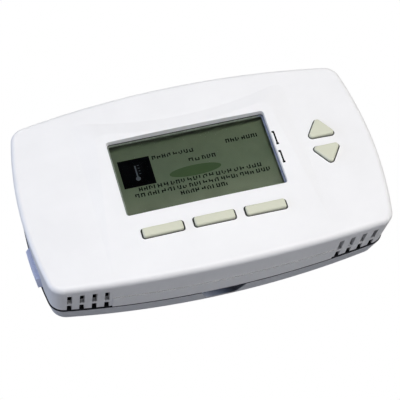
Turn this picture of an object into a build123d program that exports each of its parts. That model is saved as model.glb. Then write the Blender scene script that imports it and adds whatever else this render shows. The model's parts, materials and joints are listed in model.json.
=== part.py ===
"""Wall thermostat with a large display: a pull-off head on a wall base.

Millimetres. X runs to the right seen from the front, Z is up, and Y runs into the wall.
The wall is the plane Y = 0 and the origin is the centre of the base's back face.
A "height" in this script is a distance out from the wall, so a height h is the plane Y = -h.
"""

import os
from math import cos, sin, sqrt

from build123d import *

# ---------------------------------------------------------------- the case
WIDTH, TALL, DEEP = 147.6, 91.2, 38.0  # before the rim is rounded, which takes off about 0.5
WALL_HALF_W, WALL_HALF_H = 70.0, 35.9  # half the outline where the case meets the wall
SEAM_HALF_W, SEAM_HALF_H = 71.8, 39.8  # the same at the line between head and base
RIM_HEIGHT = 35.0  # height at which the case is at its full size
SIDE_BOW = 0.0028  # how far the sides fall in, per square of Z
RIM_TOP_BOW, SEAM_TOP_BOW, WALL_TOP_BOW = 0.0010, 0.0013, 0.0014  # top and bottom, per square of X
CORNER_R = 6.5
CROWN_R = 1185.0  # plan radius of the slightly rounded front face
RIM_FILLET = 2.0
SKIN, FACE_SKIN = 2.0, 2.2  # thickness of the side walls and of the front face
FIT = 0.3  # moulding to moulding

SEAM_HEIGHT, SEAM_GAP = 12.0, 1.0  # the line between the head and the base
BASE_TOP = SEAM_HEIGHT - SEAM_GAP / 2
HEAD_BACK = SEAM_HEIGHT + SEAM_GAP / 2
BASE_FLOOR = 2.0
REAR_BACK, REAR_FRONT = 10.6, 12.4  # the rear cover's plate
LIP_TALL = 2.4
BAND_HEIGHT, BAND_PROUD, BAND_HALF_W = 22.6, 0.5, 45.5  # raised band between the vents
BASE_LIP = 0.5  # how far the base's rim stands out past the head's plain sides

PAD_TOP_Z, PAD_BOTTOM_Z, PAD_HALF_W = 24.0, -40.0, 37.0
PAD_RISE = 0.6  # how proud the display pad is at its top edge; it fades out at its foot
PAD_SLOPE = 0.11  # of the pad's sides
PAD_FACE_MARGIN = 15.0

# ---------------------------------------------------------------- the display
WINDOW_W, WINDOW_H, WINDOW_Z = 66.5, 37.3, 4.6
WINDOW_BEVEL = 0.16  # how much each side of the window closes in, per mm of depth
LENS_W, LENS_H, LENS_T, LENS_BACK = 70.0, 40.6, 1.1, 34.5
LENS_POCKET = 36.5  # height of the flat pocket behind the window's edge, over the lens
GLASS_W, GLASS_H, GLASS_T, GLASS_BACK = 72.0, 44.0, 2.5, 31.1
GUIDE_W, GUIDE_H, GUIDE_T = 66.0, 34.0, 2.2
FRAME_W, FRAME_H, FRAME_FRONT = 76.6, 48.4, 33.4
STRIP_Z, STRIP_W = 19.3, 2.0  # the contact strips above and below the light guide
BOARD_BACK, BOARD_FRONT = 27.0, 28.6
BOARD_HALF_W, BOARD_HALF_H = 59.0, 31.5

# ---------------------------------------------------------------- the keys
KEY_W, KEY_H, KEY_Z, KEY_PITCH = 16.3, 4.3, -23.8, 21.0
ARROW_X, ARROW_HALF_W, ARROW_TALL = 53.3, 6.25, 9.6
ARROW_UP_BASE, ARROW_DOWN_BASE = 5.2, 0.55
KEY_PROUD, KEY_GAP, KEY_END_GAP, KEY_TRAVEL = 1.25, 0.45, 0.65, 0.8
KEY_FLANGE, KEY_FLANGE_T = 1.1, 0.9
SWITCH_SIZE, SWITCH_TALL, PLUNGER_R = 6.0, 2.3, 1.6

# ---------------------------------------------------------------- the vents and the finger scoop
VENT_X, VENT_PITCH, VENT_COUNT, VENT_W = 47.8, 4.9, 4, 1.9
VENT_ROWS = ((20.4, 30.4), (HEAD_BACK - 1, 18.3))  # heights of the two slots in a column
SCOOP_TOP_W, SCOOP_LOW_W, SCOOP_LOW = 18.6, 12.0, 0.5

# ---------------------------------------------------------------- the battery drawer
CELL_R, CELL_LEN, CELL_PITCH = 5.2, 44.0, 10.8
DRAWER_Z, DRAWER_HALF_H = -11.3, 11.8
DRAWER_BACK, DRAWER_FRONT = 13.2, 25.4
DRAWER_END_X, DRAWER_CAP_X, DRAWER_CAP_T = -20.6, -67.6, 1.2
DRAWER_WALL = 1.1
CELL_HEIGHT, CELL_MID_X = 19.4, -44.0
GRIP_PROUD, GRIP_FRONT = 1.7, 19.4
GRIP_TOP_X, GRIP_TOP_Z, GRIP_RUN_OUT, GRIP_LOW_Z = -70.4, -4.5, 4.8, -22.0
GRIP_ROOT_X, OUTSIDE_X = DRAWER_CAP_X - 1.0, -80.0

# ---------------------------------------------------------------- the base and its terminals
HOLE_SPACING, HOLE_R, SLOT_LEN = 83.3, 2.4, 9.0
WIRE_W, WIRE_LOW_Z, WIRE_TOP_Z = 34.0, 3.0, 31.0
RIB_STEP, RIB_W, POCKET_Z, POCKET_TALL, POCKET_DEPTH = 12.0, 1.2, 17.0, 18.0, 0.8  # on the back
WAYS, WAY_PITCH = 6, 5.08
BLOCK_X, BLOCK_W, BLOCK_Z = 29.2, 11.6, 17.0
BLOCK_H, BLOCK_TOP = WAYS * WAY_PITCH, 9.4
SCREW_X, SOCKET_X = 26.6, 32.2
WAY_ZS = [BLOCK_Z + (i - (WAYS - 1) / 2) * WAY_PITCH for i in range(WAYS)]

CASE_SCREWS = [(sx * 57.5, sz * 28.3) for sx in (-1, 1) for sz in (-1, 1)]
BOARD_SCREWS = [(sx * 45.5, sz * 27.6) for sx in (-1, 1) for sz in (-1, 1)]

KEYS = {
    "left": (-KEY_PITCH, KEY_Z),
    "middle": (0.0, KEY_Z),
    "right": (KEY_PITCH, KEY_Z),
    "up": (ARROW_X, ARROW_UP_BASE + 3.3),
    "down": (ARROW_X, ARROW_DOWN_BASE - 3.3),
}


# ---------------------------------------------------------------- shared shapes
def at(height):
    """The plane at a height: local x is X, local y is Z, and it looks out from the wall."""
    return Plane.XZ.offset(height)


def sag(x):
    """How far the rounded front face has fallen away at x."""
    return CROWN_R - sqrt(CROWN_R**2 - x**2)


def draw_case(height, inset=0.0):
    """The case's outline at a height: four bowed sides and rounded corners."""
    seam = (SEAM_HALF_W, SEAM_HALF_H, SEAM_TOP_BOW)
    if height < SEAM_HEIGHT:
        near, far, share = (WALL_HALF_W, WALL_HALF_H, WALL_TOP_BOW), seam, height / SEAM_HEIGHT
    else:
        near, far = seam, (WIDTH / 2, TALL / 2, RIM_TOP_BOW)
        share = (height - SEAM_HEIGHT) / (RIM_HEIGHT - SEAM_HEIGHT)
    half_w, half_h, bow = [a + (b - a) * share for a, b in zip(near, far)]
    half_w -= inset
    half_h -= inset
    corner_x, corner_z = half_w, half_h
    for _ in range(20):
        corner_x = half_w - SIDE_BOW * corner_z**2
        corner_z = half_h - bow * corner_x**2
    with BuildSketch(at(height)) as outline:
        with BuildLine():
            ThreePointArc((-corner_x, corner_z), (0, half_h), (corner_x, corner_z))
            ThreePointArc((corner_x, corner_z), (half_w, 0), (corner_x, -corner_z))
            ThreePointArc((corner_x, -corner_z), (0, -half_h), (-corner_x, -corner_z))
            ThreePointArc((-corner_x, -corner_z), (-half_w, 0), (-corner_x, corner_z))
        make_face()
        fillet(outline.vertices(), radius=max(CORNER_R - inset, 2.0))
    return outline.sketch


def case_block(low, high, inset=0.0):
    """A solid slice of the case between two heights. It tapers faster below the seam."""
    heights = [low, SEAM_HEIGHT, high] if low < SEAM_HEIGHT < high else [low, high]
    with BuildPart() as block:
        loft(sections=[draw_case(height, inset) for height in heights], ruled=True)
    return block.part


def crown_block(front_height, low_z=-60.0, lean=0.0, tall=120.0):
    """Everything behind the rounded front face. A lean brings the face's top edge forward."""
    reach = 85.0
    floor = Plane(
        origin=(0, -front_height, low_z),
        x_dir=(1, 0, 0),
        z_dir=(0, -sin(lean), cos(lean)),
    )
    with BuildPart() as block:
        with BuildSketch(floor):
            with BuildLine():
                arc = ThreePointArc((-reach, sag(reach)), (0, 0), (reach, sag(reach)))
                Polyline(arc @ 1, (reach, DEEP + 5), (-reach, DEEP + 5), arc @ 0)
            make_face()
        extrude(amount=tall)
    return block.part


def slab(width, tall, low, high, x=0.0, z=0.0):
    """A plain rectangular block between two heights."""
    with BuildPart() as block:
        with BuildSketch(at(low)):
            with Locations((x, z)):
                Rectangle(width, tall)
        extrude(amount=high - low)
    return block.part


def draw_key(name, height, grow=0.0, end_grow=0.0):
    """The outline of a key: a bar with rounded corners, or a rounded triangle."""
    x = KEYS[name][0]
    with BuildSketch(at(height)) as outline:
        if name in ("up", "down"):
            base = ARROW_UP_BASE if name == "up" else ARROW_DOWN_BASE
            tip = base + ARROW_TALL if name == "up" else base - ARROW_TALL
            with BuildLine():
                Polyline((x - ARROW_HALF_W, base), (x, tip), (x + ARROW_HALF_W, base), close=True)
            make_face()
            fillet(outline.vertices(), radius=1.3)
            if grow:
                offset(amount=grow)
        else:
            with Locations((x, KEY_Z)):
                RectangleRounded(KEY_W + 2 * (grow + end_grow), KEY_H + 2 * grow, 0.9 + grow)
    return outline.sketch


def key_block(name, low, high, grow=0.0, end_grow=0.0):
    with BuildPart() as block:
        extrude(draw_key(name, low, grow, end_grow), amount=high - low)
    return block.part


# ---------------------------------------------------------------- head: front cover
def display_pad():
    """The low pad round the display: it rises towards its top edge and fades out at its foot."""
    low, high = DEEP - 1.2, DEEP + 0.9
    side_height = DEEP - sag(PAD_HALF_W) + PAD_RISE
    lean = PAD_RISE / (PAD_TOP_Z - PAD_BOTTOM_Z)
    faces = []
    for height in (low, high):
        half_w = PAD_HALF_W + (side_height - height) / PAD_SLOPE
        top = PAD_TOP_Z + (DEEP + PAD_RISE - height) / PAD_SLOPE
        bottom = PAD_BOTTOM_Z - (DEEP - height) / PAD_SLOPE
        with BuildSketch(at(height)) as layer:
            with Locations((0, (top + bottom) / 2)):
                RectangleRounded(2 * half_w, top - bottom, 4.0)
        faces.append(layer.sketch)
    face = crown_block(DEEP - lean * PAD_FACE_MARGIN, PAD_BOTTOM_Z - PAD_FACE_MARGIN, lean)
    inside_rim = case_block(low, high, RIM_FILLET + 0.5)
    with BuildPart() as pad:
        loft(sections=faces, ruled=True)
        add(face, mode=Mode.INTERSECT)
        add(inside_rim, mode=Mode.INTERSECT)
    return pad.part


def make_front_cover():
    outer = case_block(HEAD_BACK, DEEP + 3)
    crown = crown_block(DEEP)
    pad = display_pad()
    band = case_block(HEAD_BACK, BAND_HEIGHT, -BAND_PROUD)
    band_width = slab(2 * BAND_HALF_W, TALL + 10, 0, DEEP)
    inner = case_block(HEAD_BACK - 1, DEEP + 3, SKIN)
    inner_crown = crown_block(DEEP - FACE_SKIN)
    with BuildPart() as raised_band:
        add(band)
        add(band_width, mode=Mode.INTERSECT)
    with BuildPart() as hollow:
        add(inner)
        add(inner_crown, mode=Mode.INTERSECT)
    with BuildPart() as bosses:
        with BuildSketch(at(REAR_FRONT + FIT)):
            with Locations(*CASE_SCREWS):
                Circle(2.8)
        extrude(amount=DEEP - 3.2 - REAR_FRONT)
        with BuildSketch(at(BOARD_FRONT)):
            with Locations(*BOARD_SCREWS):
                Circle(2.4)
        extrude(amount=DEEP - 2.9 - BOARD_FRONT)
    window_mid = DEEP + 0.2
    with BuildPart() as window:
        for height in (LENS_POCKET - 0.3, DEEP + 1.5):
            grow = 2 * WINDOW_BEVEL * (height - window_mid)
            with BuildSketch(at(height)):
                with Locations((0, WINDOW_Z)):
                    RectangleRounded(WINDOW_W + grow, WINDOW_H + grow, 1.3)
        loft(ruled=True)
    with BuildPart() as vents:
        for low, high in VENT_ROWS:
            with BuildSketch(at(low)):
                for side in (-1, 1):
                    with Locations(*[(side * (VENT_X + i * VENT_PITCH), 0) for i in range(VENT_COUNT)]):
                        Rectangle(VENT_W, TALL + 10)
            extrude(amount=high - low)
        with BuildSketch(at(0)):
            Rectangle(WIDTH + 20, 64)
        extrude(amount=DEEP, mode=Mode.SUBTRACT)
    lens_pocket = slab(LENS_W + 2 * FIT, LENS_H + 2 * FIT, LENS_BACK, LENS_POCKET, 0, WINDOW_Z)
    door_gap = slab(
        14,
        2 * DRAWER_HALF_H + 2 * FIT,
        HEAD_BACK - 1,
        DRAWER_FRONT + FIT,
        -72.0,
        DRAWER_Z,
    )
    with BuildPart() as front_cover:
        add(outer)
        add(crown, mode=Mode.INTERSECT)
        fillet(front_cover.faces().sort_by(Axis.Y)[0].edges(), radius=RIM_FILLET)
        add(pad)
        add(raised_band.part)
        add(hollow.part, mode=Mode.SUBTRACT)
        add(bosses.part)
        add(window.part, mode=Mode.SUBTRACT)
        add(lens_pocket, mode=Mode.SUBTRACT)
        add(vents.part, mode=Mode.SUBTRACT)
        add(door_gap, mode=Mode.SUBTRACT)
        for name in KEYS:
            hole = key_block(name, DEEP - 6, DEEP + 6, KEY_GAP, KEY_END_GAP - KEY_GAP)
            add(hole, mode=Mode.SUBTRACT)
        with BuildSketch(at(REAR_FRONT)):
            with Locations(*CASE_SCREWS):
                Circle(1.1)
        extrude(amount=11, mode=Mode.SUBTRACT)
        with BuildSketch(at(BOARD_FRONT)):
            with Locations(*BOARD_SCREWS):
                Circle(0.9)
        extrude(amount=5, mode=Mode.SUBTRACT)
    return front_cover.part


# ---------------------------------------------------------------- head: rear cover and drawer bay
def make_rear_cover():
    """A plate across the head's back, with a locating lip and the drawer's two rails."""
    block = case_block(REAR_BACK, REAR_FRONT + LIP_TALL, SKIN + FIT)
    inside = case_block(REAR_FRONT, REAR_FRONT + LIP_TALL + 1, SKIN + FIT + 1.3)
    rail_z = DRAWER_HALF_H + FIT + 0.7
    drawer_mid_x = (DRAWER_END_X + DRAWER_CAP_X) / 2
    mouth = slab(30, 2 * (DRAWER_HALF_H + FIT), REAR_FRONT, 20, DRAWER_CAP_X - 13, DRAWER_Z)
    with BuildPart() as rear_cover:
        add(block)
        add(inside, mode=Mode.SUBTRACT)
        with BuildSketch(at(REAR_FRONT - 0.5)):
            with Locations((drawer_mid_x + 1, DRAWER_Z + rail_z), (drawer_mid_x + 1, DRAWER_Z - rail_z)):
                Rectangle(40, 1.4)
            with Locations((DRAWER_END_X + 2.2, DRAWER_Z)):
                Rectangle(1.4, 2 * rail_z + 1.4)
        extrude(amount=DRAWER_FRONT - REAR_FRONT)
        with BuildSketch(at(REAR_FRONT - 0.5)):
            with Locations(*[(drawer_mid_x, DRAWER_Z + s * 7.0) for s in (-1, 1)]):
                Rectangle(36, 1.2)
        extrude(amount=0.9)
        add(mouth, mode=Mode.SUBTRACT)
        with BuildSketch(at(REAR_BACK - 0.5)):
            with Locations((-SOCKET_X, BLOCK_Z), (SOCKET_X, BLOCK_Z)):
                SlotOverall(BLOCK_H + 3, 4.4, rotation=90)
            with Locations(*CASE_SCREWS):
                Circle(1.3)
            with Locations(*[(x * 4.0, -27.0) for x in range(-4, 5)]):
                SlotOverall(9, 1.8, rotation=90)
        extrude(amount=REAR_FRONT - REAR_BACK + 1.0, mode=Mode.SUBTRACT)
    return rear_cover.part


def make_battery_clips():
    """Two sprung contact plates on the bay's end wall, one for each end of the cell pair."""
    x = DRAWER_END_X + 1.2
    with BuildPart() as clips:
        with BuildSketch(Plane.YZ.offset(x)):
            with Locations(*[(-CELL_HEIGHT, DRAWER_Z + s * CELL_PITCH / 2) for s in (-1, 1)]):
                Rectangle(7.0, 6.5)
        extrude(amount=0.3)
        with BuildSketch(Plane.YZ.offset(x)):
            with Locations(*[(-CELL_HEIGHT, DRAWER_Z + s * CELL_PITCH / 2) for s in (-1, 1)]):
                Circle(1.4)
        extrude(amount=-2.3, taper=12)
    return clips.part


# ---------------------------------------------------------------- head: display stack
def make_display_lens():
    with BuildPart() as lens:
        with BuildSketch(at(LENS_BACK)):
            with Locations((0, WINDOW_Z)):
                RectangleRounded(LENS_W, LENS_H, 1.0)
        extrude(amount=LENS_T)
        chamfer(lens.faces().sort_by(Axis.Y)[0].edges(), length=0.2)
    return lens.part


def make_display_gasket():
    """The black foam ring that fills the gap between the lens and the floor of its pocket."""
    with BuildPart() as gasket:
        with BuildSketch(at(LENS_BACK + LENS_T)):
            with Locations((0, WINDOW_Z)):
                RectangleRounded(LENS_W, LENS_H, 1.0)
                RectangleRounded(WINDOW_W - 0.2, WINDOW_H - 0.2, 1.2, mode=Mode.SUBTRACT)
        extrude(amount=LENS_POCKET - LENS_BACK - LENS_T - 0.03)
    return gasket.part


def make_display_glass():
    """The liquid-crystal cell: a back glass and a slightly shorter front glass."""
    with BuildPart() as glass:
        with BuildSketch(at(GLASS_BACK)):
            with Locations((0, WINDOW_Z)):
                Rectangle(GLASS_W, GLASS_H)
        extrude(amount=GLASS_T / 2)
        with BuildSketch(at(GLASS_BACK + GLASS_T / 2)):
            with Locations((0, WINDOW_Z)):
                Rectangle(GLASS_W, GLASS_H - 3)
        extrude(amount=GLASS_T / 2)
    return glass.part


def make_light_guide():
    with BuildPart() as guide:
        with BuildSketch(at(BOARD_FRONT + 0.1)):
            with Locations((0, WINDOW_Z)):
                Rectangle(GUIDE_W, GUIDE_H)
        extrude(amount=GUIDE_T)
    return guide.part


def make_contact_strips():
    """Two striped rubber strips that carry the board's tracks up to the glass."""
    with BuildPart() as strips:
        with BuildSketch(at(BOARD_FRONT)):
            with Locations((0, WINDOW_Z + STRIP_Z), (0, WINDOW_Z - STRIP_Z)):
                Rectangle(GUIDE_W, STRIP_W)
        extrude(amount=GLASS_BACK - BOARD_FRONT)
    return strips.part


def make_display_frame():
    """The clip frame that holds the glass down on the strips."""
    with BuildPart() as frame:
        with BuildSketch(at(BOARD_FRONT)):
            with Locations((0, WINDOW_Z)):
                RectangleRounded(FRAME_W, FRAME_H, 1.5)
        extrude(amount=FRAME_FRONT - BOARD_FRONT)
        with BuildSketch(at(BOARD_FRONT)):
            with Locations((0, WINDOW_Z)):
                Rectangle(GLASS_W + 0.6, GLASS_H + 0.6)
        extrude(amount=FRAME_FRONT - BOARD_FRONT, mode=Mode.SUBTRACT)
    return frame.part


def make_backlight_lamps():
    with BuildPart() as lamps:
        with BuildSketch(at(BOARD_FRONT)):
            with Locations(*[(-GUIDE_W / 2 - 1.3, WINDOW_Z + s * 8.0) for s in (-1, 1)]):
                Rectangle(1.6, 3.2)
        extrude(amount=1.5)
    return lamps.part


# ---------------------------------------------------------------- head: board and what is on it
def make_main_board():
    with BuildPart() as board:
        with BuildSketch(at(BOARD_BACK)):
            Rectangle(2 * BOARD_HALF_W, 2 * BOARD_HALF_H)
            with Locations(*CASE_SCREWS):
                Circle(4.2, mode=Mode.SUBTRACT)
            with Locations(*BOARD_SCREWS):
                Circle(1.15, mode=Mode.SUBTRACT)
        extrude(amount=BOARD_FRONT - BOARD_BACK)
    return board.part


def make_board_parts(depth, size, places, round_part=False):
    """Parts that stand on the back of the board, reaching back towards the wall by a depth."""
    with BuildPart() as parts:
        with BuildSketch(at(BOARD_BACK - depth)):
            with Locations(*places):
                if round_part:
                    Circle(size)
                else:
                    Rectangle(*size)
        extrude(amount=depth)
        if depth > 4:
            top_edges = parts.faces().sort_by(Axis.Y)[-len(places):].edges()
            chamfer(top_edges, length=0.4)
    return parts.part


def make_thermistor():
    """The sensing bead, held off the board's lower edge on two wires."""
    x, z, height = 50.0, -BOARD_HALF_H, (BOARD_BACK + BOARD_FRONT) / 2
    with BuildPart() as thermistor:
        with BuildSketch(Plane.XY.offset(z - 2.6)):
            with Locations((x - 0.7, -height), (x + 0.7, -height)):
                Circle(0.25)
        extrude(amount=2.6)
        with BuildSketch(Plane.YZ.offset(x)):
            with BuildLine():
                arc = ThreePointArc((-height, z - 4.6), (-height - 1.3, z - 3.3), (-height, z - 2.0))
                Line(arc @ 1, arc @ 0)
            make_face()
        revolve(axis=Axis((x, -height, z), (0, 0, 1)))
    return thermistor.part


def make_header(side):
    """The moulded strip that carries six pins from the board back to the base."""
    with BuildPart() as header:
        with BuildSketch(at(REAR_FRONT + 3.0)):
            with Locations((side * SOCKET_X, BLOCK_Z)):
                Rectangle(3.4, BLOCK_H - 2.6)
        extrude(amount=BOARD_BACK - REAR_FRONT - 3.0)
        with BuildSketch(at(REAR_FRONT + 3.0)):
            with Locations(*[(side * SOCKET_X, z) for z in WAY_ZS]):
                Rectangle(0.9, 0.9)
        extrude(amount=BOARD_BACK - REAR_FRONT, mode=Mode.SUBTRACT)
    return header.part


def make_header_pins():
    with BuildPart() as pins:
        with BuildSketch(at(5.0)):
            with Locations(*[(s * SOCKET_X, z) for s in (-1, 1) for z in WAY_ZS]):
                Rectangle(0.8, 0.8)
        extrude(amount=BOARD_BACK - 5.0)
        chamfer(pins.faces().sort_by(Axis.Y)[-2 * WAYS:].edges(), length=0.2)
    return pins.part


def make_screws(places, head_height, head_r, head_t, shank_r, shank_len):
    """Pan-head screws driven from behind, with a cross recess."""
    with BuildPart() as screws:
        with BuildSketch(at(head_height)):
            with Locations(*places):
                Circle(shank_r)
        extrude(amount=shank_len)
        with BuildSketch(at(head_height - head_t)):
            with Locations(*places):
                Circle(head_r)
        extrude(amount=head_t)
        fillet(screws.faces().sort_by(Axis.Y)[-len(places):].edges(), radius=head_t * 0.4)
        with BuildSketch(at(head_height - head_t)):
            with Locations(*places):
                Rectangle(head_r * 1.1, head_r * 0.28)
                Rectangle(head_r * 0.28, head_r * 1.1)
        extrude(amount=head_t * 0.5, mode=Mode.SUBTRACT)
    return screws.part


# ---------------------------------------------------------------- keys and their switches
def key_front(name):
    """Height of the face round a key, taken at the key's middle."""
    x, z = KEYS[name]
    rise = PAD_RISE * (z - PAD_BOTTOM_Z) / (PAD_TOP_Z - PAD_BOTTOM_Z)
    if abs(x) > PAD_HALF_W:
        rise = 0.0
    return DEEP - sag(x) + rise


def key_seat(name):
    """Height of the top of a key's flange, under the inside of the face."""
    x = KEYS[name][0]
    half = ARROW_HALF_W if abs(x) > PAD_HALF_W else KEY_W / 2
    return DEEP - FACE_SKIN - sag(abs(x) + half + KEY_FLANGE) - FIT


def plunger_top():
    return BOARD_FRONT + SWITCH_TALL + KEY_TRAVEL + 0.3


def make_key(name):
    """A domed key with a flange under the face and a stem down to its switch."""
    x, z = KEYS[name]
    top = key_front(name) + KEY_PROUD
    seat = key_seat(name)
    flange = key_block(name, seat - KEY_FLANGE_T, seat, KEY_FLANGE)
    with BuildPart() as key:
        extrude(draw_key(name, seat - 0.2), amount=top - seat + 0.2)
        fillet(key.faces().sort_by(Axis.Y)[0].edges(), radius=0.75)
        add(flange)
        with BuildSketch(at(plunger_top())):
            with Locations((x, z)):
                Circle(2.0)
        extrude(amount=seat - plunger_top())
    return key.part


def make_plunger(name):
    """The switch's button, which goes down with the key."""
    with BuildPart() as plunger:
        with BuildSketch(at(BOARD_FRONT + 1.4)):
            with Locations(KEYS[name]):
                Circle(PLUNGER_R)
        extrude(amount=plunger_top() - BOARD_FRONT - 1.4)
    return plunger.part


def make_key_switches():
    """Five square switch bodies on the front of the board, each open for its plunger."""
    with BuildPart() as switches:
        with BuildSketch(at(BOARD_FRONT)):
            with Locations(*KEYS.values()):
                Rectangle(SWITCH_SIZE, SWITCH_SIZE)
        extrude(amount=SWITCH_TALL)
        with BuildSketch(at(BOARD_FRONT + 0.5)):
            with Locations(*KEYS.values()):
                Circle(PLUNGER_R + 0.15)
        extrude(amount=SWITCH_TALL, mode=Mode.SUBTRACT)
    return switches.part


# ---------------------------------------------------------------- battery drawer
def make_battery_tray():
    """A tray open to the front for two cells, with an end cap and a grip on the case's side."""
    length = DRAWER_END_X - DRAWER_CAP_X
    mid_x = (DRAWER_END_X + DRAWER_CAP_X) / 2
    tall = 2 * DRAWER_HALF_H
    cap_front = DRAWER_FRONT - 0.2
    case_side = case_block(DRAWER_BACK, cap_front)
    grip_side = case_block(DRAWER_BACK, GRIP_FRONT, -GRIP_PROUD)
    with BuildPart() as cap:
        with BuildSketch(at(DRAWER_BACK)):
            with Locations(((OUTSIDE_X + DRAWER_CAP_X) / 2, DRAWER_Z)):
                Rectangle(DRAWER_CAP_X - OUTSIDE_X, tall)
        extrude(amount=cap_front - DRAWER_BACK)
        add(case_side, mode=Mode.INTERSECT)
    with BuildPart() as grip:
        with BuildSketch(at(DRAWER_BACK)):
            with BuildLine():
                Polyline(
                    (GRIP_ROOT_X, GRIP_LOW_Z),
                    (OUTSIDE_X, GRIP_LOW_Z),
                    (OUTSIDE_X, GRIP_TOP_Z - 2 * GRIP_RUN_OUT),
                    (GRIP_TOP_X, GRIP_TOP_Z),
                    (GRIP_ROOT_X, GRIP_TOP_Z),
                    close=True,
                )
            make_face()
        extrude(amount=GRIP_FRONT - DRAWER_BACK)
        add(grip_side, mode=Mode.INTERSECT)
    with BuildPart() as tray:
        with BuildSketch(at(DRAWER_BACK)):
            with Locations((mid_x, DRAWER_Z)):
                Rectangle(length, tall)
        extrude(amount=DRAWER_FRONT - DRAWER_BACK)
        with BuildSketch(at(DRAWER_BACK + 0.9)):
            with Locations((mid_x, DRAWER_Z)):
                Rectangle(length - 2 * DRAWER_CAP_T, tall - 2 * DRAWER_WALL)
        extrude(amount=DRAWER_FRONT - DRAWER_BACK, mode=Mode.SUBTRACT)
        add(cap.part)
        add(grip.part)
        with BuildSketch(Plane.YZ.offset(DRAWER_END_X - DRAWER_CAP_T - 1)):
            with Locations(*[(-CELL_HEIGHT, DRAWER_Z + s * CELL_PITCH / 2) for s in (-1, 1)]):
                Circle(2.4)
        extrude(amount=DRAWER_CAP_T + 2, mode=Mode.SUBTRACT)
    return tray.part


def make_cell(side):
    """One AAA cell along X, with its raised positive end; the two lie head to tail."""
    z = DRAWER_Z + side * CELL_PITCH / 2
    plain_end = CELL_MID_X - side * CELL_LEN / 2
    with BuildPart() as cell:
        with BuildSketch(Plane.YZ.offset(plain_end)):
            with Locations((-CELL_HEIGHT, z)):
                Circle(CELL_R)
        extrude(amount=side * (CELL_LEN - 0.8))
        fillet(cell.edges().filter_by(GeomType.CIRCLE), radius=0.5)
        with BuildSketch(Plane.YZ.offset(plain_end + side * (CELL_LEN - 1.5))):
            with Locations((-CELL_HEIGHT, z)):
                Circle(1.9)
        extrude(amount=side * 1.5)
    return cell.part


def make_link_plate():
    """The plate at the outer end of the tray that joins the two cells."""
    with BuildPart() as plate:
        with BuildSketch(Plane.YZ.offset(DRAWER_CAP_X + DRAWER_CAP_T)):
            with Locations((-CELL_HEIGHT, DRAWER_Z)):
                Rectangle(7.5, 17.5)
        extrude(amount=0.3)
    return plate.part


# ---------------------------------------------------------------- base
def make_wallplate():
    """The tray that screws to the wall, with the finger scoop in its lower edge."""
    with BuildPart() as outer:
        loft(sections=[draw_case(0), draw_case(BASE_TOP, -BASE_LIP)], ruled=True)
    inner = case_block(BASE_FLOOR, BASE_TOP + 1, SKIN)
    columns = [(i - 4.5) * RIB_STEP for i in range(10)]
    pockets = [(x, -POCKET_Z) for x in columns]
    pockets += [(x, POCKET_Z) for x in columns if abs(x) > WIRE_W / 2 + RIB_STEP / 2]
    with BuildPart() as scoop:
        with BuildSketch(Plane.XY.offset(-TALL / 2)) as mouth:
            with BuildLine():
                Polyline(
                    (-SCOOP_TOP_W / 2, -BASE_TOP - 2),
                    (-SCOOP_TOP_W / 2, -BASE_TOP + 1),
                    (-SCOOP_LOW_W / 2, -SCOOP_LOW),
                    (SCOOP_LOW_W / 2, -SCOOP_LOW),
                    (SCOOP_TOP_W / 2, -BASE_TOP + 1),
                    (SCOOP_TOP_W / 2, -BASE_TOP - 2),
                    close=True,
                )
            make_face()
            fillet(mouth.vertices().group_by(Axis.Y)[-1], radius=3.0)
        extrude(amount=TALL / 2 - WALL_HALF_H + SKIN + 1.5)
    with BuildPart() as wallplate:
        add(outer.part)
        add(inner, mode=Mode.SUBTRACT)
        with BuildSketch(at(0)):
            with Locations(*[(s * HOLE_SPACING / 2, 0) for s in (-1, 1)]):
                Circle(5.2)
                Rectangle(13, 8)
        extrude(amount=BASE_FLOOR + 1.0)
        add(scoop.part, mode=Mode.SUBTRACT)
        with BuildSketch(at(0)):
            with Locations(*pockets):
                RectangleRounded(RIB_STEP - RIB_W, POCKET_TALL, 1.0)
        extrude(amount=POCKET_DEPTH, mode=Mode.SUBTRACT)
        with BuildSketch(at(0)):
            with Locations((-HOLE_SPACING / 2, 0), (HOLE_SPACING / 2, 0)):
                SlotOverall(SLOT_LEN, 2 * HOLE_R)
            with Locations((0, (WIRE_LOW_Z + WIRE_TOP_Z) / 2)):
                RectangleRounded(WIRE_W, WIRE_TOP_Z - WIRE_LOW_Z, 2.5)
        extrude(amount=BASE_FLOOR + 2, mode=Mode.SUBTRACT)
    return wallplate.part


def make_terminal_block(side):
    """Six screw terminals: wires enter from the opening, the head's pins from the front."""
    with BuildPart() as block:
        with BuildSketch(at(BASE_FLOOR)):
            with Locations((side * BLOCK_X, BLOCK_Z)):
                Rectangle(BLOCK_W, BLOCK_H)
        extrude(amount=BLOCK_TOP - BASE_FLOOR)
        with BuildSketch(at(BASE_FLOOR + 1.2)):
            with Locations(*[(side * SCREW_X, z) for z in WAY_ZS]):
                Rectangle(4.0, 4.0)
        extrude(amount=BLOCK_TOP, mode=Mode.SUBTRACT)
        with BuildSketch(at(BASE_FLOOR + 1.2)):
            with Locations(*[(side * SOCKET_X, z) for z in WAY_ZS]):
                Rectangle(2.6, 2.6)
        extrude(amount=BLOCK_TOP, mode=Mode.SUBTRACT)
        with BuildSketch(Plane.YZ.offset(side * (BLOCK_X - BLOCK_W / 2))):
            with Locations(*[(-4.6, z) for z in WAY_ZS]):
                Circle(1.2)
        extrude(amount=side * 2.0, mode=Mode.SUBTRACT)
    return block.part


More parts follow.
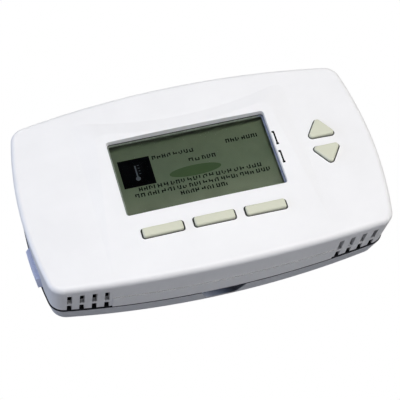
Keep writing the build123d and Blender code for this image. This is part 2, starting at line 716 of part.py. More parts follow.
def make_terminal_clamps():
    """A brass cage in each way, open along X for the wire, threaded for its screw."""
    places = [(s * SCREW_X, z) for s in (-1, 1) for z in WAY_ZS]
    with BuildPart() as clamps:
        with BuildSketch(at(BASE_FLOOR + 1.3)):
            with Locations(*places):
                Rectangle(3.7, 3.7)
        extrude(amount=3.9)
        for side in (-1, 1):
            with BuildSketch(Plane.YZ.offset(side * SCREW_X - 3)):
                with Locations(*[(-4.6, z) for z in WAY_ZS]):
                    Rectangle(2.0, 2.5)
            extrude(amount=6, mode=Mode.SUBTRACT)
        with BuildSketch(at(BASE_FLOOR + 3.2)):
            with Locations(*places):
                Circle(1.1)
        extrude(amount=4, mode=Mode.SUBTRACT)
    return clamps.part


def make_terminal_screws():
    places = [(s * SCREW_X, z) for s in (-1, 1) for z in WAY_ZS]
    with BuildPart() as screws:
        with BuildSketch(at(6.0)):
            with Locations(*places):
                Circle(1.0)
        extrude(amount=1.6)
        with BuildSketch(at(7.4)):
            with Locations(*places):
                Circle(1.8)
        extrude(amount=1.3)
        with BuildSketch(at(8.1)):
            with Locations(*places):
                Rectangle(3.0, 0.5)
        extrude(amount=1.0, mode=Mode.SUBTRACT)
    return screws.part


# ---------------------------------------------------------------- build and save
PIECES = {
    "wallplate": make_wallplate(),
    "terminal_block_left": make_terminal_block(-1),
    "terminal_block_right": make_terminal_block(1),
    "terminal_clamps": make_terminal_clamps(),
    "terminal_screws": make_terminal_screws(),
    "front_cover": make_front_cover(),
    "rear_cover": make_rear_cover(),
    "battery_clips": make_battery_clips(),
    "display_lens": make_display_lens(),
    "display_gasket": make_display_gasket(),
    "display_glass": make_display_glass(),
    "display_frame": make_display_frame(),
    "light_guide": make_light_guide(),
    "backlight_lamps": make_backlight_lamps(),
    "contact_strips": make_contact_strips(),
    "main_board": make_main_board(),
    "relays": make_board_parts(12.0, (10.0, 20.0), [(x, -15.0) for x in (-8.0, 4.0, 16.0, 28.0)]),
    "capacitors": make_board_parts(11.0, 4.0, [(46.0, 2.0), (46.0, 12.0)], round_part=True),
    "controller_chip": make_board_parts(1.4, (12.0, 12.0), [(4.0, 14.0)]),
    "memory_chip": make_board_parts(1.6, (5.2, 6.2), [(-9.0, 16.0)]),
    "clock_crystal": make_board_parts(1.5, (3.2, 8.0), [(14.5, 20.0)]),
    "thermistor": make_thermistor(),
    "header_left": make_header(-1),
    "header_right": make_header(1),
    "header_pins": make_header_pins(),
    "key_switches": make_key_switches(),
    "case_screws": make_screws(CASE_SCREWS, REAR_BACK, 2.5, 1.5, 1.0, 11.0),
    "board_screws": make_screws(BOARD_SCREWS, BOARD_BACK, 2.2, 1.3, 0.85, 6.0),
    "battery_tray": make_battery_tray(),
    "battery_upper": make_cell(1),
    "battery_lower": make_cell(-1),
    "battery_link": make_link_plate(),
}
for key_name in KEYS:
    PIECES[f"key_{key_name}"] = make_key(key_name)
    PIECES[f"plunger_{key_name}"] = make_plunger(key_name)

os.makedirs("parts", exist_ok=True)
for piece_name, piece in PIECES.items():
    piece.label = piece_name
    export_step(piece, f"parts/{piece_name}.step")
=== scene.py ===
"""Looks of a wall thermostat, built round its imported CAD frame.

Metres, except where a comment says millimetres. X runs to the right seen from the front, Z is up, and
Y runs into the wall, which is the plane Y = 0. The front faces -Y. Every place comes from the frame's
boxes or from a size named here.
"""

import json
import random
from math import cos, pi, radians, sin

import bmesh
import bpy
from mathutils import Matrix, Vector
from mathutils.bvhtree import BVHTree


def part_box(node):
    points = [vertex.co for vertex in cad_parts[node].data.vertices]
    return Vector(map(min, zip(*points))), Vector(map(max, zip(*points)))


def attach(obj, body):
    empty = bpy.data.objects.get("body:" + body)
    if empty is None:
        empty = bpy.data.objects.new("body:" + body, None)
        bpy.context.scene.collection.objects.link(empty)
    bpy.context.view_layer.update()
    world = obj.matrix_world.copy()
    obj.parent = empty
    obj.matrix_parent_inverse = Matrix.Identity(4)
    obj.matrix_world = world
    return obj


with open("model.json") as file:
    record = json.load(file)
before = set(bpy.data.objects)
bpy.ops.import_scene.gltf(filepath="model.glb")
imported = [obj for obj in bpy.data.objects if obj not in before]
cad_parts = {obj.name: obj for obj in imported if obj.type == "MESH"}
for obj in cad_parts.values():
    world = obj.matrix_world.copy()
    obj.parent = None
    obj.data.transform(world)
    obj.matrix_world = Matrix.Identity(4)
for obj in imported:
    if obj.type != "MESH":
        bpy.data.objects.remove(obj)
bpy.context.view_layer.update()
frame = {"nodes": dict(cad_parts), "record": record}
MM = 0.001

# ---------------------------------------------------------------- camera
AIM = Vector((-3.3, -38.0, -13.7)) * MM
CAMERA_DISTANCE = 0.726
CAMERA_TURN, CAMERA_RISE, CAMERA_ROLL = radians(10.7), radians(33.8), radians(-18.0)
SENSOR = 36.0
LENS = 164.5
NEAR_CLIP = 0.01


def add_camera():
    """A long lens below the object and to its left, looking up at it, and rolled clockwise."""
    level = Vector((cos(CAMERA_TURN), -sin(CAMERA_TURN), 0))
    forward = Vector(
        (
            sin(CAMERA_TURN) * cos(CAMERA_RISE),
            cos(CAMERA_TURN) * cos(CAMERA_RISE),
            sin(CAMERA_RISE),
        )
    )
    upright = level.cross(forward)
    right = level * cos(CAMERA_ROLL) + upright * sin(CAMERA_ROLL)
    up = right.cross(forward)
    data = bpy.data.cameras.new("camera")
    data.lens = LENS
    data.sensor_width = SENSOR
    data.clip_start = NEAR_CLIP
    camera = bpy.data.objects.new("camera", data)
    camera.matrix_world = Matrix.Translation(AIM - forward * CAMERA_DISTANCE) @ Matrix(
        (right, up, -forward)
    ).transposed().to_4x4()
    bpy.context.scene.collection.objects.link(camera)
    bpy.context.scene.camera = camera


# ---------------------------------------------------------------- shader building blocks
def new_material(name):
    """A material, its node tree, its shader and its object-space coordinates."""
    material = bpy.data.materials.new(name)
    material.use_nodes = True
    tree = material.node_tree
    shader = tree.nodes["Principled BSDF"]
    place = tree.nodes.new("ShaderNodeTexCoord")
    return material, tree, shader, place.outputs["Object"]


def tint(colour, factor):
    """A colour made lighter or darker, and no more than white."""
    return tuple(min(1.0, c * factor) for c in colour)


def add_noise(tree, place, scale, detail=3.0, roughness=0.6):
    """Soft noise from 0 to 1, with about `scale` blotches to the metre."""
    noise = tree.nodes.new("ShaderNodeTexNoise")
    noise.inputs["Scale"].default_value = scale
    noise.inputs["Detail"].default_value = detail
    noise.inputs["Roughness"].default_value = roughness
    tree.links.new(place, noise.inputs["Vector"])
    return noise.outputs["Fac"]


def add_ramp(tree, value, stops):
    """Colours a value by (position, (r, g, b)) stops."""
    ramp = tree.nodes.new("ShaderNodeValToRGB")
    elements = ramp.color_ramp.elements
    while len(elements) < len(stops):
        elements.new(0.5)
    for element, (position, colour) in zip(elements, stops):
        element.position = position
        element.color = (*colour, 1.0)
    tree.links.new(value, ramp.inputs["Fac"])
    return ramp.outputs["Color"]


def add_map_range(tree, value, **limits):
    """A Map Range node with the limits given by socket name, such as To_Min."""
    spread = tree.nodes.new("ShaderNodeMapRange")
    for name, limit in limits.items():
        spread.inputs[name.replace("_", " ")].default_value = limit
    tree.links.new(value, spread.inputs["Value"])
    return spread.outputs["Result"]


def add_axis(tree, place, axis):
    """One coordinate of a place."""
    split = tree.nodes.new("ShaderNodeSeparateXYZ")
    tree.links.new(place, split.inputs["Vector"])
    return split.outputs[axis]


def add_axis_range(tree, place, axis, low, high):
    """0 to 1 as one coordinate goes from low to high, in metres."""
    return add_map_range(tree, add_axis(tree, place, axis), From_Min=low, From_Max=high)


def add_near(tree, place, axis, middle, reach):
    """1 where one coordinate is within a reach of a value, and 0 elsewhere."""
    near = tree.nodes.new("ShaderNodeMath")
    near.operation = "COMPARE"
    near.inputs[1].default_value = middle
    near.inputs[2].default_value = reach
    tree.links.new(add_axis(tree, place, axis), near.inputs[0])
    return near.outputs["Value"]


def add_product(tree, values):
    """The product of several values."""
    product = values[0]
    for value in values[1:]:
        times = tree.nodes.new("ShaderNodeMath")
        times.operation = "MULTIPLY"
        tree.links.new(product, times.inputs[0])
        tree.links.new(value, times.inputs[1])
        product = times.outputs["Value"]
    return product


def add_mix(tree, kind, first, second, factor=1.0):
    """Two colours mixed. Each colour is a socket or an (r, g, b), and the factor a socket or a number."""
    mix = tree.nodes.new("ShaderNodeMix")
    mix.data_type = "RGBA"
    mix.blend_type = kind
    if isinstance(factor, float):
        mix.inputs["Factor"].default_value = factor
    else:
        tree.links.new(factor, mix.inputs["Factor"])
    for value, socket in ((first, mix.inputs["A"]), (second, mix.inputs["B"])):
        if isinstance(value, tuple):
            socket.default_value = (*value, 1.0)
        else:
            tree.links.new(value, socket)
    return mix.outputs["Result"]


def add_bump(tree, shader, value, strength, distance):
    """Fine relief on the shader, from a value taken as height."""
    bump = tree.nodes.new("ShaderNodeBump")
    bump.inputs["Strength"].default_value = strength
    bump.inputs["Distance"].default_value = distance
    tree.links.new(value, bump.inputs["Height"])
    tree.links.new(bump.outputs["Normal"], shader.inputs["Normal"])


# ---------------------------------------------------------------- plastics, metals and prints
# Blotches to the metre of a moulding's colour, its gloss and its grain, and the grain's relief.
CLOUD_SCALE, GLOSS_SCALE, GRAIN_SCALE, METAL_GRAIN_SCALE = 60.0, 240.0, 2600.0, 900.0
GRAIN_STRENGTH, GRAIN_DEPTH, METAL_GRAIN_DEPTH = 0.35, 0.00002, 0.00001
PLASTIC_VARIATION, METAL_VARIATION = 0.015, 0.05

# name: (colour in linear light, roughness range)
PLASTICS = {
    "case_white": ((0.86, 0.86, 0.87), (0.36, 0.5)),
    # The wallplate is the case's white plastic, painted darker and cooler as painted shade near the wall.
    "plate_white": ((0.68, 0.69, 0.72), (0.36, 0.5)),
    # The rear cover is near black as painted shade: it darkens the inside seen through the vents, the seam
    # and the scoop.
    "rear_dark": ((0.020, 0.022, 0.030), (0.45, 0.6)),
    "key_cream": ((0.63, 0.64, 0.51), (0.42, 0.55)),
    "frame_black": ((0.012, 0.013, 0.016), (0.5, 0.65)),
    "guide_milky": ((0.80, 0.83, 0.80), (0.25, 0.35)),
    "lamp_yellow": ((0.75, 0.66, 0.16), (0.15, 0.25)),
    "strip_rubber": ((0.26, 0.07, 0.08), (0.6, 0.75)),
    "chip_black": ((0.012, 0.012, 0.012), (0.5, 0.65)),
    "relay_dark": ((0.006, 0.010, 0.022), (0.25, 0.4)),
    "capacitor_sleeve": ((0.012, 0.016, 0.045), (0.2, 0.35)),
    "bead_black": ((0.01, 0.01, 0.01), (0.3, 0.5)),
    "header_black": ((0.012, 0.012, 0.013), (0.45, 0.6)),
    "switch_black": ((0.015, 0.015, 0.016), (0.45, 0.6)),
    "plunger_black": ((0.02, 0.02, 0.02), (0.45, 0.6)),
    "block_grey": ((0.07, 0.08, 0.09), (0.35, 0.5)),
    # The drawer has a faint blue of its own, darkened and cooled further as painted shade.
    "drawer_blue_grey": ((0.70, 0.75, 0.92), (0.4, 0.55)),
}
METALS = {
    "crystal_can": ((0.62, 0.62, 0.60), (0.2, 0.35)),
    "pin_gold": ((0.75, 0.52, 0.16), (0.2, 0.35)),
    "screw_steel": ((0.45, 0.46, 0.48), (0.28, 0.45)),
    "clip_steel": ((0.60, 0.60, 0.57), (0.2, 0.35)),
    "clamp_brass": ((0.62, 0.43, 0.13), (0.25, 0.4)),
}
# What is printed or shown on the display, and beside the window: dull, and without shine.
PRINTS = {
    "ink": (0.004, 0.005, 0.004),
    "tile": (0.0015, 0.0018, 0.0025),
    "icon": (0.05, 0.06, 0.07),
    "oval": (0.042, 0.066, 0.032),
}
PRINT_ROUGHNESS = (0.5, 0.7)


def moulded(
    name,
    colour,
    rough,
    grain=GRAIN_SCALE,
    depth=GRAIN_DEPTH,
    variation=PLASTIC_VARIATION,
    metallic=0.0,
    shine=0.5,
):
    """A spark-eroded moulding: fine grain, faint clouding in the colour, uneven gloss."""
    material, tree, shader, place = new_material(name)
    clouds = add_noise(tree, place, CLOUD_SCALE)
    stops = [(0.3, tint(colour, 1 - variation)), (0.7, tint(colour, 1 + variation))]
    tree.links.new(add_ramp(tree, clouds, stops), shader.inputs["Base Color"])
    fine = add_noise(tree, place, grain, 2.0)
    patches = add_noise(tree, place, GLOSS_SCALE)
    gloss = add_map_range(tree, patches, To_Min=rough[0], To_Max=rough[1])
    tree.links.new(gloss, shader.inputs["Roughness"])
    add_bump(tree, shader, fine, GRAIN_STRENGTH, depth)
    shader.inputs["Metallic"].default_value = metallic
    shader.inputs["Specular IOR Level"].default_value = shine
    return material


# Painted shade in crevices: how far a crevice is felt for, how dark its painted shade gets, and the
# openness where it is darkest and where it ends. It ends at a plain inside corner's openness, so such a
# corner keeps its colour.
CREVICE_REACH, CREVICE_FLOOR = 12 * MM, 0.03
CREVICE_DARKEST, CREVICE_END = 0.2, 0.5
CREVICE_SAMPLES = 12
WITH_CREVICE_SHADE = ("case_white", "plate_white", "key_cream", "drawer_blue_grey")


def paint_crevice_shade(material):
    """Paints shade into a material's colour wherever it is more closed in than a plain inside corner."""
    tree = material.node_tree
    shader = tree.nodes["Principled BSDF"]
    colour = shader.inputs["Base Color"].links[0].from_socket
    openness = tree.nodes.new("ShaderNodeAmbientOcclusion")
    openness.samples = CREVICE_SAMPLES
    openness.inputs["Distance"].default_value = CREVICE_REACH
    stops = [(CREVICE_DARKEST, (CREVICE_FLOOR,) * 3), (CREVICE_END, (1.0, 1.0, 1.0))]
    shade = add_ramp(tree, openness.outputs["AO"], stops)
    tree.links.new(add_mix(tree, "MULTIPLY", colour, shade), shader.inputs["Base Color"])


# The joint: the wallplate's front edge, which lies under the head.
JOINT_REACH = 0.1 * MM
JOINT_SHADE = (0.06, 0.06, 0.07)
# The wallplate's lower side: half its height at the wall, and how fast it flares towards the head.
PLATE_HALF_H, PLATE_FLARE = 35.9 * MM, 0.369
# The scoop cut into it: half its width, the box it lies in as axis, middle and reach, and how deep
# its shade starts and is full.
SCOOP_HALF = 9.3 * MM
SCOOP_REGION = (("X", 0.0, 9.4 * MM), ("Y", -5.9 * MM, 5.5 * MM), ("Z", -36.5 * MM, 4.3 * MM))
SCOOP_START, SCOOP_FULL = 0.15 * MM, 0.6 * MM
SCOOP_SHADES = [(0.2, (0.80, 0.86, 1.0)), (0.5, (0.36, 0.42, 0.56)), (0.8, (0.13, 0.14, 0.17))]


def shade_plate(material):
    """Shadow in the joint under the head, and a shadow that deepens across the finger scoop."""
    tree = material.node_tree
    shader = tree.nodes["Principled BSDF"]
    colour = shader.inputs["Base Color"].links[0].from_socket
    place = tree.nodes.new("ShaderNodeTexCoord").outputs["Object"]
    joint = add_near(tree, place, "Y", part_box("wallplate")[0].y, JOINT_REACH)
    colour = add_mix(tree, "MULTIPLY", colour, JOINT_SHADE, joint)
    depth = tree.nodes.new("ShaderNodeVectorMath")
    depth.operation = "DOT_PRODUCT"
    depth.inputs[1].default_value = (0.0, -PLATE_FLARE, 1.0)
    tree.links.new(place, depth.inputs[0])
    start, full = SCOOP_START - PLATE_HALF_H, SCOOP_FULL - PLATE_HALF_H
    sunk = add_map_range(tree, depth.outputs["Value"], From_Min=start, From_Max=full)
    inside = [add_near(tree, place, axis, middle, reach) for axis, middle, reach in SCOOP_REGION]
    within = add_product(tree, [sunk, *inside])
    across = add_axis_range(tree, place, "X", -SCOOP_HALF, SCOOP_HALF)
    shaded = add_mix(tree, "MULTIPLY", colour, add_ramp(tree, across, SCOOP_SHADES))
    tree.links.new(add_mix(tree, "MIX", colour, shaded, within), shader.inputs["Base Color"])


# ---------------------------------------------------------------- display, board and cells
# The lens bends light hardly at all, so that what lies behind it stays clear.
LENS_TINT, LENS_IOR, LENS_ROUGHNESS = (0.97, 0.99, 0.98, 1.0), 1.05, (0.0, 0.02)


def clear_lens():
    """Clear plastic with faint smears."""
    material, tree, shader, place = new_material("lens_clear")
    shader.inputs["Base Color"].default_value = LENS_TINT
    shader.inputs["Transmission Weight"].default_value = 1.0
    shader.inputs["IOR"].default_value = LENS_IOR
    smears = add_noise(tree, place, 90.0)
    gloss = add_map_range(tree, smears, To_Min=LENS_ROUGHNESS[0], To_Max=LENS_ROUGHNESS[1])
    tree.links.new(gloss, shader.inputs["Roughness"])
    return material


def lens_edge_highlight():
    """The lens's edge in painted highlight: pale grey-green along the top and left, and blue-grey at the
    right as painted cool light from the left.
    """
    material, tree, shader, place = new_material("lens_edge")
    across = add_axis_range(tree, place, "X", 30.0 * MM, 33.0 * MM)
    # Painted highlight, turning blue-grey at the right as painted cool light.
    tones = add_ramp(tree, across, [(0.0, (0.20, 0.23, 0.19)), (1.0, (0.17, 0.21, 0.34))])
    clouds = add_noise(tree, place, 300.0)
    mottle = add_ramp(tree, clouds, [(0.3, (0.9, 0.9, 0.9)), (0.7, (1.0, 1.0, 1.0))])
    tree.links.new(add_mix(tree, "MULTIPLY", tones, mottle), shader.inputs["Base Color"])
    tree.links.new(add_map_range(tree, clouds, To_Min=0.2, To_Max=0.35), shader.inputs["Roughness"])
    add_bump(tree, shader, clouds, 0.1, 0.00001)
    return material


# The display's colours from its lower edge up, the last of them painted light that lifts its top edge out
# of the window frame's shadow; the brightening towards its right end; and the margins at its lower and
# upper edges that the window's frame hides.
DISPLAY_FALL = [
    (0.0, (0.118, 0.136, 0.094)),
    (0.45, (0.078, 0.100, 0.066)),
    (0.92, (0.070, 0.086, 0.056)),
    (1.0, (0.105, 0.122, 0.088)),
]
DISPLAY_SIDE = [(0.3, (1.0, 1.0, 1.0)), (1.0, (1.22, 1.20, 1.16))]
DISPLAY_LOW_MARGIN, DISPLAY_TOP_MARGIN = 4 * MM, 2.5 * MM
DISPLAY_SHINE = 0.08
DISPLAY_DOTS = 2200.0


def liquid_crystal():
    """The unlit display: dull green, paler towards its lower edge and its right end, with fine dots."""
    material, tree, shader, place = new_material("display_grey_green")
    low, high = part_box("display_glass")
    bottom, top = low.z + DISPLAY_LOW_MARGIN, high.z - DISPLAY_TOP_MARGIN
    fall = add_ramp(tree, add_axis_range(tree, place, "Z", bottom, top), DISPLAY_FALL)
    side = add_ramp(tree, add_axis_range(tree, place, "X", low.x, high.x), DISPLAY_SIDE)
    base = add_mix(tree, "MULTIPLY", fall, side)
    clouds = add_noise(tree, place, 120.0, 4.0)
    mottle = add_ramp(tree, clouds, [(0.3, (0.93, 0.93, 0.93)), (0.7, (1.06, 1.06, 1.06))])
    tree.links.new(add_mix(tree, "MULTIPLY", base, mottle), shader.inputs["Base Color"])
    tree.links.new(add_map_range(tree, clouds, To_Min=0.28, To_Max=0.40), shader.inputs["Roughness"])
    shader.inputs["Specular IOR Level"].default_value = DISPLAY_SHINE
    dots = tree.nodes.new("ShaderNodeTexVoronoi")
    dots.inputs["Scale"].default_value = DISPLAY_DOTS
    dots.inputs["Randomness"].default_value = 0.0
    tree.links.new(place, dots.inputs["Vector"])
    add_bump(tree, shader, dots.outputs["Distance"], 0.2, 0.00001)
    return material


def printed_board():
    """Green solder mask over copper tracks, with pale legend dots."""
    material, tree, shader, place = new_material("board_green")
    turn = tree.nodes.new("ShaderNodeMapping")
    turn.inputs["Rotation"].default_value = (pi / 2, 0, 0)
    tree.links.new(place, turn.inputs["Vector"])
    tracks = tree.nodes.new("ShaderNodeTexBrick")
    tracks.inputs["Scale"].default_value = 260.0
    tracks.inputs["Mortar Size"].default_value = 0.05
    tracks.inputs["Color1"].default_value = (0.004, 0.055, 0.020, 1.0)
    tracks.inputs["Color2"].default_value = (0.005, 0.066, 0.026, 1.0)
    tracks.inputs["Mortar"].default_value = (0.016, 0.125, 0.050, 1.0)
    tree.links.new(turn.outputs["Vector"], tracks.inputs["Vector"])
    dots = tree.nodes.new("ShaderNodeTexVoronoi")
    dots.inputs["Scale"].default_value = 240.0
    tree.links.new(place, dots.inputs["Vector"])
    pads = add_ramp(tree, dots.outputs["Distance"], [(0.14, (0.62, 0.60, 0.50)), (0.17, (0.0, 0.0, 0.0))])
    tree.links.new(add_mix(tree, "LIGHTEN", tracks.outputs["Color"], pads), shader.inputs["Base Color"])
    clouds = add_noise(tree, place, 90.0)
    tree.links.new(add_map_range(tree, clouds, To_Min=0.25, To_Max=0.4), shader.inputs["Roughness"])
    add_bump(tree, shader, tracks.outputs["Fac"], 0.3, 0.00004)
    return material


# A cell's colours from its left end to its right, and where its metal is bare.
CELL_STEEL, CELL_DARK, CELL_COPPER = (0.55, 0.55, 0.54), (0.018, 0.020, 0.024), (0.46, 0.20, 0.07)
CELL_STOPS = [
    (0.0, CELL_STEEL),
    (0.035, CELL_STEEL),
    (0.045, CELL_DARK),
    (0.70, CELL_DARK),
    (0.71, CELL_COPPER),
    (0.95, CELL_COPPER),
    (0.96, CELL_STEEL),
    (1.0, CELL_STEEL),
]
CELL_BARE = [(0.035, (1, 1, 1)), (0.045, (0, 0, 0)), (0.95, (0, 0, 0)), (0.96, (1, 1, 1))]


def cell_look():
    """A dry cell: a dark printed sleeve with a copper-coloured band, and bare steel at both ends."""
    material, tree, shader, place = new_material("cell_sleeve")
    low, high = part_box("battery_upper")
    along = add_axis_range(tree, place, "X", low.x, high.x)
    tree.links.new(add_ramp(tree, along, CELL_STOPS), shader.inputs["Base Color"])
    tree.links.new(add_ramp(tree, along, CELL_BARE), shader.inputs["Metallic"])
    scuffs = add_noise(tree, place, 400.0, 4.0)
    tree.links.new(add_map_range(tree, scuffs, To_Min=0.18, To_Max=0.34), shader.inputs["Roughness"])
    add_bump(tree, shader, scuffs, 0.1, 0.00002)
    return material


def make_materials():
    """Every material by name. The CAD nodes' slots use the same names."""
    made = {name: moulded(name, colour, rough) for name, (colour, rough) in PLASTICS.items()}
    for name, (colour, rough) in METALS.items():
        made[name] = moulded(
            name, colour, rough, METAL_GRAIN_SCALE, METAL_GRAIN_DEPTH, METAL_VARIATION, metallic=1.0
        )
    # Painted shade in the crevices of the white and cream mouldings and of the drawer.
    for name in WITH_CREVICE_SHADE:
        paint_crevice_shade(made[name])
    shade_plate(made["plate_white"])
    made["lens_clear"] = clear_lens()
    made["lens_edge"] = lens_edge_highlight()
    made["display_grey_green"] = liquid_crystal()
    made["board_green"] = printed_board()
    made["cell_sleeve"] = cell_look()
    for name, colour in PRINTS.items():
        made[name] = moulded(name, colour, PRINT_ROUGHNESS, shine=0.0)
    return made


# ---------------------------------------------------------------- outlines
# Outlines are lists of (x, z) corners in millimetres, seen from the front.
def bar(x0, z0, x1, z1):
    """A rectangle between two opposite corners."""
    return [(x0, z0), (x1, z0), (x1, z1), (x0, z1)]


def disc(x, z, wide, tall, sides=40):
    """An oval of half-width `wide` and half-height `tall`."""
    turns = [2 * pi * i / sides for i in range(sides)]
    return [(x + wide * cos(t), z + tall * sin(t)) for t in turns]


def rounded_outline(half_w, half_h, middle_z, radius, steps=6):
    """Corners of a rounded rectangle centred on x = 0."""
    points = []
    for quarter, (sx, sz) in enumerate(((1, 1), (-1, 1), (-1, -1), (1, -1))):
        for i in range(steps + 1):
            t = pi / 2 * (quarter + i / steps)
            points.append(
                (
                    sx * (half_w - radius) + radius * cos(t),
                    middle_z + sz * (half_h - radius) + radius * sin(t),
                )
            )
    return points


# The greeked rows, in millimetres: the letters' height and stroke, the ties' height as a part of the
# stroke, the pitch of the strokes, the gap between words, their uneven widths, and how far a stroke
# may stop short of the line.
ROW_TALL, STROKE, TIE, PITCH, WORD_GAP = 1.9, 0.5, 0.9, 1.0, 1.1
WORD_WIDTHS = (0.7, 1.4)
SHORTFALLS = (0.0, 0.0, 0.5)


def greeked_row(left, right, middle, words, rng):
    """A row of plain upright strokes of uneven height, tied by short bars, in place of writing."""
    shapes = []
    low, high = middle - ROW_TALL / 2, middle + ROW_TALL / 2
    spans = [rng.uniform(*WORD_WIDTHS) for _ in range(words)]
    scale = (right - left - WORD_GAP * (words - 1)) / sum(spans)
    x = left
    for span in spans:
        end = x + span * scale
        count = max(3, round((end - x) / PITCH))
        step = (end - x - STROKE) / (count - 1)
        for i in range(count):
            here = x + i * step
            foot = low + rng.choice(SHORTFALLS)
            head = high - rng.choice(SHORTFALLS)
            shapes.append(bar(here, foot, here + STROKE, head))
            if i + 1 < count and i % 2 == 0:
                tie = rng.choice((low, middle - STROKE / 2, high - STROKE))
                shapes.append(bar(here + STROKE, tie, here + step, tie + STROKE * TIE))
        x = end + WORD_GAP
    return shapes


# ---------------------------------------------------------------- pieces made here
RAY_START = -0.06  # a place in front of the whole object, to drape printing from


def finish_piece(name, mesh, body, material):
    """Turns a mesh into a piece that rides on a body."""
    data = bpy.data.meshes.new(name)
    bmesh.ops.recalc_face_normals(mesh, faces=mesh.faces)
    mesh.to_mesh(data)
    mesh.free()
    data.materials.append(material)
    piece = bpy.data.objects.new(name, data)
    bpy.context.scene.collection.objects.link(piece)
    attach(piece, body)
    return piece


def add_prism(mesh, back, front):
    """Closes the space between two rings with the same number of corners."""
    mesh.faces.new(front)
    mesh.faces.new(list(reversed(back)))
    for i in range(len(back)):
        j = (i + 1) % len(back)
        mesh.faces.new((back[i], back[j], front[j], front[i]))


def flat_piece(name, shapes, back, front, body, material):
    """Thin raised shapes between two distances out from the wall, in millimetres."""
    mesh = bmesh.new()
    for shape in shapes:
        rings = [[mesh.verts.new((x * MM, -h * MM, z * MM)) for x, z in shape] for h in (back, front)]
        add_prism(mesh, *rings)
    return finish_piece(name, mesh, body, material)


def draped_piece(name, shapes, onto, thick, body, material):
    """Printing that lies on a CAD node's curved front, half sunk into it."""
    surface = BVHTree.FromObject(frame["nodes"][onto], bpy.context.evaluated_depsgraph_get())
    mesh = bmesh.new()
    for shape in shapes:
        rings = []
        for lift in (-thick, thick):
            ring = []
            for x, z in shape:
                start = Vector((x * MM, RAY_START, z * MM))
                hit = surface.ray_cast(start, Vector((0, 1, 0)))[0]
                ring.append(mesh.verts.new((x * MM, hit.y - lift * MM, z * MM)))
            rings.append(ring)
        add_prism(mesh, *rings)
    return finish_piece(name, mesh, body, material)


def ring_piece(name, outer, inner, back, front, body, material):
    """A flat frame between two closed outlines with the same number of corners."""
    mesh = bmesh.new()
    loops = [
        [mesh.verts.new((x * MM, -h * MM, z * MM)) for x, z in outline]
        for outline, h in ((outer, back), (outer, front), (inner, front), (inner, back))
    ]
    for k in range(4):
        a, b = loops[k], loops[(k + 1) % 4]
        for i in range(len(outer)):
            j = (i + 1) % len(outer)
            mesh.faces.new((a[i], a[j], b[j], b[i]))
    return finish_piece(name, mesh, body, material)


# The display's picture, in millimetres.
ROWS = (  # left end, right end, height above the object's middle, words
    (-16.1, 1.2, 14.3, 2),
    (-1.8, 9.4, 9.6, 2),
    (15.2, 28.5, 15.2, 2),
    (-24.9, 26.1, 0.3, 8),
    (-27.1, 29.0, -2.6, 9),
    (-9.0, 10.3, -5.5, 3),
)
ROWS_SEED = 11
BADGE_LEFT, BADGE_RIGHT, BADGE_LOW, BADGE_TOP = -30.4, -17.2, 1.8, 15.7
THERMOMETER_X, THERMOMETER_Z, BULB_R = -23.8, 5.6, 1.0
STEM_HALF_W, STEM_FOOT, STEM_TOP = 0.3, 0.8, 6.6
# The thermometer's marks: how many, their pitch, and their left, right, lower and upper edges.
TICKS, TICK_PITCH = 4, 1.4
TICK_LEFT, TICK_RIGHT, TICK_LOW, TICK_TOP = 0.9, 1.7, 2.2, 2.45
OVAL_X, OVAL_Z, OVAL_HALF_W, OVAL_HALF_H = -0.4, 4.2, 10.8, 2.6
# Each layer's back and front, out from the glass.
ROWS_BACK, ROWS_FRONT = 0.01, 0.06
TILE_BACK, TILE_FRONT = 0.01, 0.05
ICON_BACK, ICON_FRONT = 0.06, 0.1
OVAL_BACK, OVAL_FRONT = 0.005, 0.02


def make_display_picture(materials):
    """Greeked rows, a black tile with a thermometer, and a dim oval, on the front of the glass."""
    glass = -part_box("display_glass")[0].y / MM
    rng = random.Random(ROWS_SEED)
    rows = [shape for row in ROWS for shape in greeked_row(*row, rng)]
    back, front = glass + ROWS_BACK, glass + ROWS_FRONT
    flat_piece("display_rows", rows, back, front, "head", materials["ink"])
    tile = [bar(BADGE_LEFT, BADGE_LOW, BADGE_RIGHT, BADGE_TOP)]
    back, front = glass + TILE_BACK, glass + TILE_FRONT
    flat_piece("display_tile", tile, back, front, "head", materials["tile"])
    x, z = THERMOMETER_X, THERMOMETER_Z
    icon = [bar(x - STEM_HALF_W, z + STEM_FOOT, x + STEM_HALF_W, z + STEM_TOP), disc(x, z, BULB_R, BULB_R)]
    for i in range(TICKS):
        rise = z + TICK_PITCH * i
        icon.append(bar(x + TICK_LEFT, rise + TICK_LOW, x + TICK_RIGHT, rise + TICK_TOP))
    back, front = glass + ICON_BACK, glass + ICON_FRONT
    flat_piece("display_icon", icon, back, front, "head", materials["icon"])
    oval = [disc(OVAL_X, OVAL_Z, OVAL_HALF_W, OVAL_HALF_H)]
    back, front = glass + OVAL_BACK, glass + OVAL_FRONT
    flat_piece("display_oval", oval, back, front, "head", materials["oval"])


# The lens's edge, in millimetres: its outline, its corners, and its back and front, out from the lens.
EDGE_HALF_W, EDGE_HALF_H, EDGE_LINE = 33.05, 18.45, 0.75
EDGE_OUTER_R, EDGE_INNER_R = 1.1, 0.5
EDGE_BACK, EDGE_FRONT = 0.02, 0.3


def make_lens_edge(materials):
    """The raised edge of the clear lens, just inside the window, pale with a painted highlight."""
    low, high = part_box("display_lens")
    middle = (low.z + high.z) / 2 / MM
    outer = rounded_outline(EDGE_HALF_W, EDGE_HALF_H, middle, EDGE_OUTER_R)
    inner = rounded_outline(EDGE_HALF_W - EDGE_LINE, EDGE_HALF_H - EDGE_LINE, middle, EDGE_INNER_R)
    face = -low.y / MM
    back, front = face + EDGE_BACK, face + EDGE_FRONT
    ring_piece("lens_edge", outer, inner, back, front, "head", materials["lens_edge"])


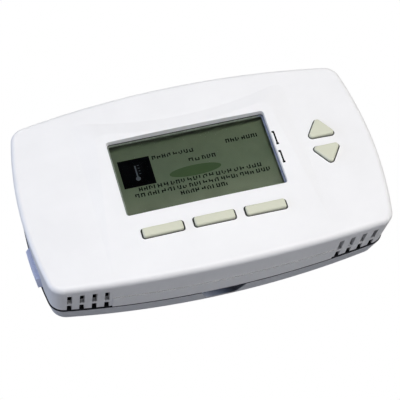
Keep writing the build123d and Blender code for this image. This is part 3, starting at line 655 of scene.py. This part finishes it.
# Two brackets printed beside the window, one above the other, in millimetres: the line's left side and
# width, the ticks' height and ends, and how far the upper and lower ticks are shifted.
MARK_X, MARK_LINE, MARK_TICK = 34.1, 0.7, 0.9
TICK_BEFORE, TICK_AFTER, TICK_SHIFT = 0.45, 0.95, 0.3
MARK_SPANS = ((5.2, 12.2), (-4.2, 2.2))
MARK_THICK = 0.02


def bracket(low, high):
    """An upright line with a short tick across each end."""
    left, right = MARK_X - TICK_BEFORE, MARK_X + TICK_AFTER
    return [
        bar(MARK_X, low + MARK_TICK, MARK_X + MARK_LINE, high - MARK_TICK),
        bar(left, high - MARK_TICK, right - TICK_SHIFT, high),
        bar(left + TICK_SHIFT, low, right, low + MARK_TICK),
    ]


def make_window_marks(materials):
    """The two brackets beside the window, on the face's curve."""
    marks = [shape for span in MARK_SPANS for shape in bracket(*span)]
    draped_piece("window_marks", marks, "front_cover", MARK_THICK, "head", materials["ink"])


# ---------------------------------------------------------------- light and surroundings
LIGHTS = (  # name, place, size, power, colour; each is aimed at the origin
    ("key_light", (0.2, -1.6, 0.36), (1.0, 0.8), 17.4, (1.0, 0.99, 0.98)),
    ("fill_light", (1.25, -1.15, -0.6), (0.5, 0.3), 7.4, (1.0, 0.98, 0.95)),
    ("side_light", (-1.4, -0.35, 0.3), (0.6, 0.6), 9.5, (0.72, 0.80, 1.0)),
)
# The surround is pure white to the camera. As a light it is dim, and cooler on the left.
AMBIENT = 0.105
COOL_SIDE, WARM_SIDE = (0.72, 0.80, 1.0), (1.0, 0.99, 0.96)
COOL_END, WARM_END = -0.9, 0.3
FLOOR_REACH, FLOOR_Z = 3.0, -0.75
FLOOR_COLOUR, FLOOR_ROUGHNESS, FLOOR_GRAIN = (0.8, 0.8, 0.81), (0.6, 0.8), 400.0


def add_area_light(name, place, size, power, colour):
    """A rectangular light aimed at the origin."""
    data = bpy.data.lights.new(name, "AREA")
    data.shape = "RECTANGLE"
    data.size, data.size_y = size
    data.energy = power
    data.color = colour
    light = bpy.data.objects.new(name, data)
    light.location = place
    light.rotation_euler = (-Vector(place)).to_track_quat("-Z", "Y").to_euler()
    bpy.context.scene.collection.objects.link(light)


def add_surround():
    """White for the camera, and a dim tinted glow for everything else."""
    world = bpy.data.worlds.new("surround")
    bpy.context.scene.world = world
    world.use_nodes = True
    tree = world.node_tree
    place = tree.nodes.new("ShaderNodeTexCoord")
    across = add_axis_range(tree, place.outputs["Generated"], "X", COOL_END, WARM_END)
    glow = tree.nodes["Background"]
    tree.links.new(add_ramp(tree, across, [(0.0, COOL_SIDE), (1.0, WARM_SIDE)]), glow.inputs["Color"])
    glow.inputs["Strength"].default_value = AMBIENT
    seen = tree.nodes.new("ShaderNodeBackground")
    seen.inputs["Color"].default_value = (1.0, 1.0, 1.0, 1.0)
    seen.inputs["Strength"].default_value = 1.0
    path = tree.nodes.new("ShaderNodeLightPath")
    choose = tree.nodes.new("ShaderNodeMixShader")
    tree.links.new(path.outputs["Is Camera Ray"], choose.inputs["Fac"])
    tree.links.new(glow.outputs["Background"], choose.inputs[1])
    tree.links.new(seen.outputs["Background"], choose.inputs[2])
    tree.links.new(choose.outputs["Shader"], tree.nodes["World Output"].inputs["Surface"])


def add_floor():
    """A plain pale floor, well below the object."""
    data = bpy.data.meshes.new("floor")
    reach = FLOOR_REACH
    corners = [(-reach, -reach, 0), (reach, -reach, 0), (reach, reach, 0), (-reach, reach, 0)]
    data.from_pydata(corners, [], [(0, 1, 2, 3)])
    floor = bpy.data.objects.new("floor", data)
    floor.location = (0, 0, FLOOR_Z)
    data.materials.append(moulded("floor_pale", FLOOR_COLOUR, FLOOR_ROUGHNESS, FLOOR_GRAIN))
    bpy.context.scene.collection.objects.link(floor)


def add_studio():
    """A soft key light from the front, fills from both sides, a white surround and a pale floor."""
    bpy.context.scene.view_settings.view_transform = "Standard"
    add_surround()
    for light in LIGHTS:
        add_area_light(*light)
    add_floor()


# ---------------------------------------------------------------- build
def dress_nodes(materials):
    """Gives each CAD node the look its slot names. The wallplate alone has a shaded look of its own."""
    look_of = {s["node"]: s["material_slot"] for s in frame["record"]["subparts"]}
    look_of["wallplate"] = "plate_white"
    for name, node in frame["nodes"].items():
        for slot in node.material_slots:
            slot.material = materials[look_of[name]]


add_camera()
add_studio()
materials = make_materials()
dress_nodes(materials)
make_display_picture(materials)
make_lens_edge(materials)
make_window_marks(materials)
